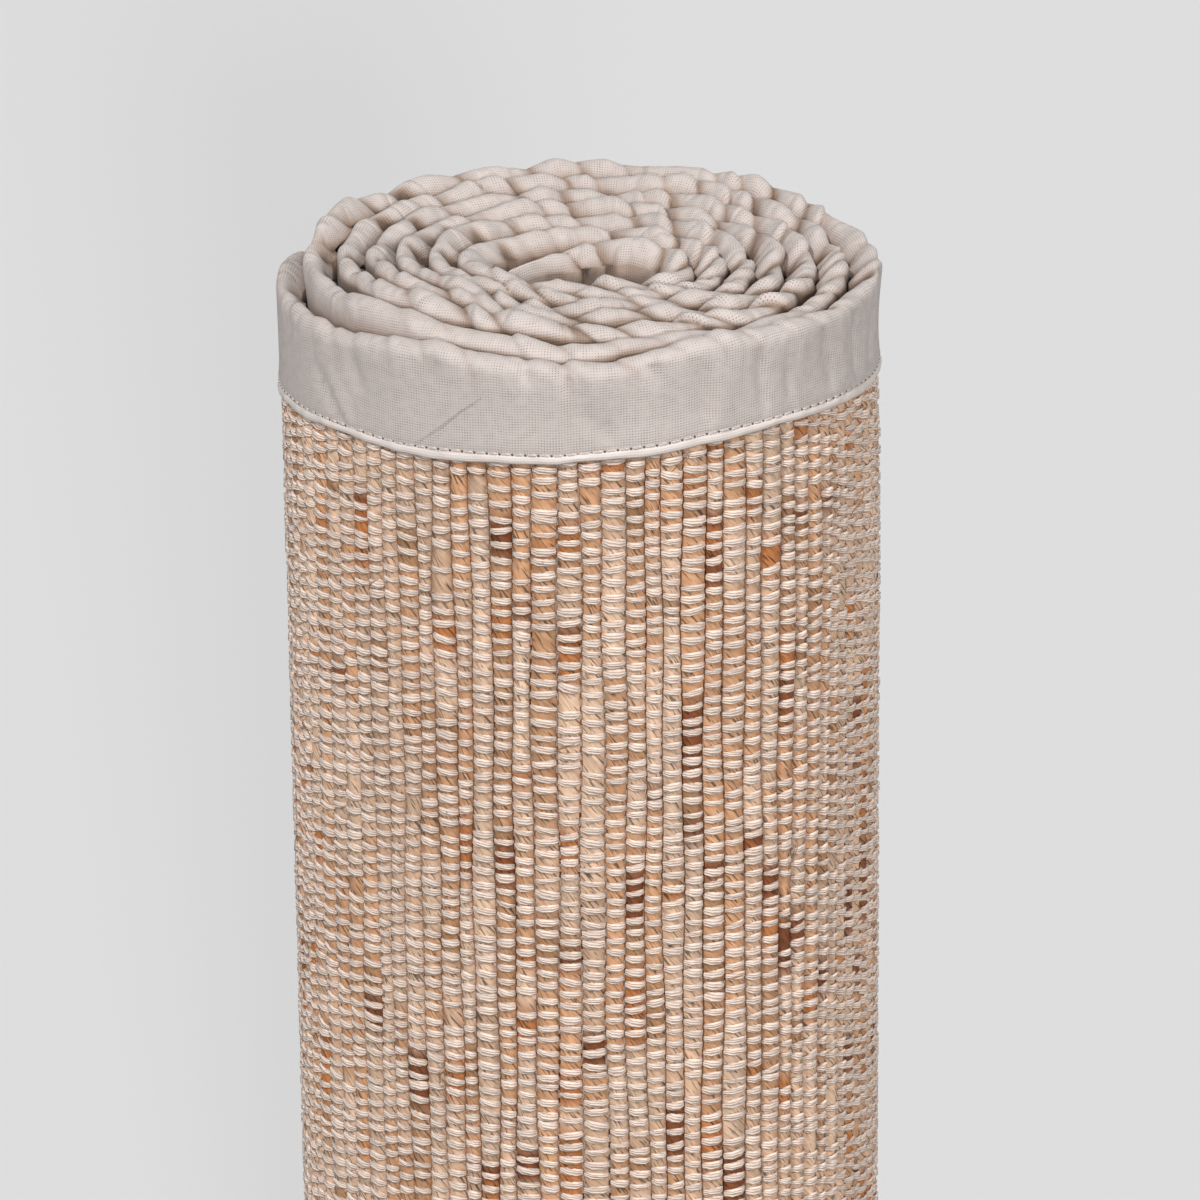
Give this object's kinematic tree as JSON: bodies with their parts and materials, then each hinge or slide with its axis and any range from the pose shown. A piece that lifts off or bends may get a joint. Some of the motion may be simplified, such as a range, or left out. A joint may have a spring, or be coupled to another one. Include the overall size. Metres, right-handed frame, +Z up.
{
  "type": "rolled banana fibre mat",
  "caption": "Banana fibre mat with cotton binding, rolled into a spiral and standing on its end, with the puffed rim of the binding and the loose inner end on top.",
  "frame": {"origin": "on the surface that the roll stands on, under the middle of its bounding box", "axes": "+Z up the roll, -Y towards the viewer of the picture, +X to the viewer's right"},
  "size_m": [0.1368, 0.1304, 0.6099],
  "materials": {
    "woven_banana_fibre": "matt, with slightly glossy cords",
    "cotton_binding": "matt"
  },
  "bodies": {
    "root": {"mat_field": "woven_banana_fibre", "binding_top": "cotton_binding", "binding_foot": "cotton_binding", "binding_outer_end": "cotton_binding", "binding_inner_end": "cotton_binding"}
  },
  "joints": []
}
